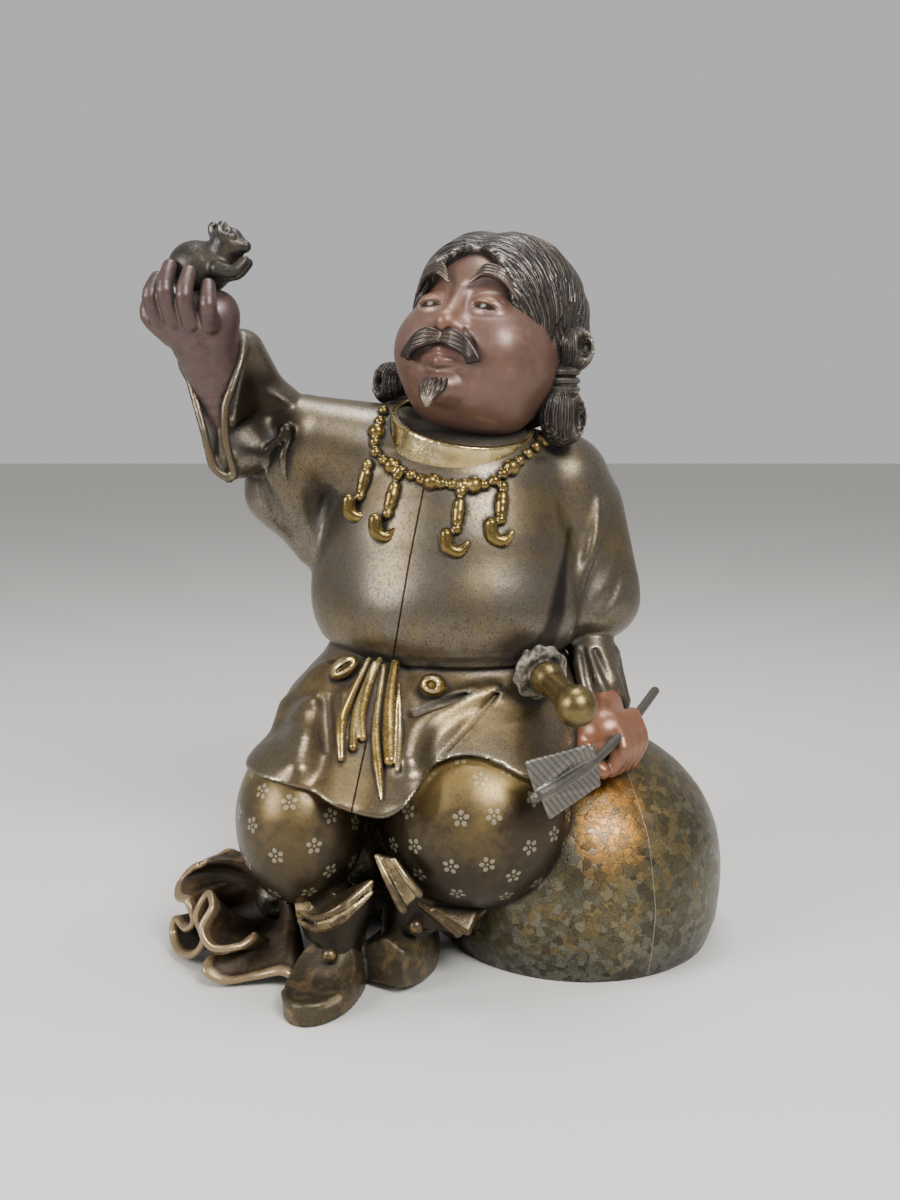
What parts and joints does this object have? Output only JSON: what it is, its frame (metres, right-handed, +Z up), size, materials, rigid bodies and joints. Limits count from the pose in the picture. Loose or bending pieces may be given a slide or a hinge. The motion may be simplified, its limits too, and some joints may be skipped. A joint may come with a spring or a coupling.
{
  "type": "daikoku figure",
  "caption": "Cast table figure of a seated lucky god on a full sack, holding a small mouse up in one hand, with a sword hilt and an arrow.",
  "frame": {"origin": "on the table, below the middle of the whole figure", "axes": "+Z up, -Y towards a viewer who stands in front, +X towards the figure's own left hand"},
  "size_m": [0.2472, 0.1706, 0.3074],
  "materials": {
    "patinated_casting": "satin brown and gold patina over cast copper alloy, skin and hair coloured brown",
    "dark_casting": "satin dark brown patina",
    "gilt_casting": "worn gold-brown patina, rough grey guard",
    "grey_casting": "grey patina"
  },
  "bodies": {
    "root": {"figure_on_sack": "patinated_casting", "mouse": "dark_casting", "sword_hilt": "gilt_casting", "arrow": "grey_casting"}
  },
  "joints": []
}
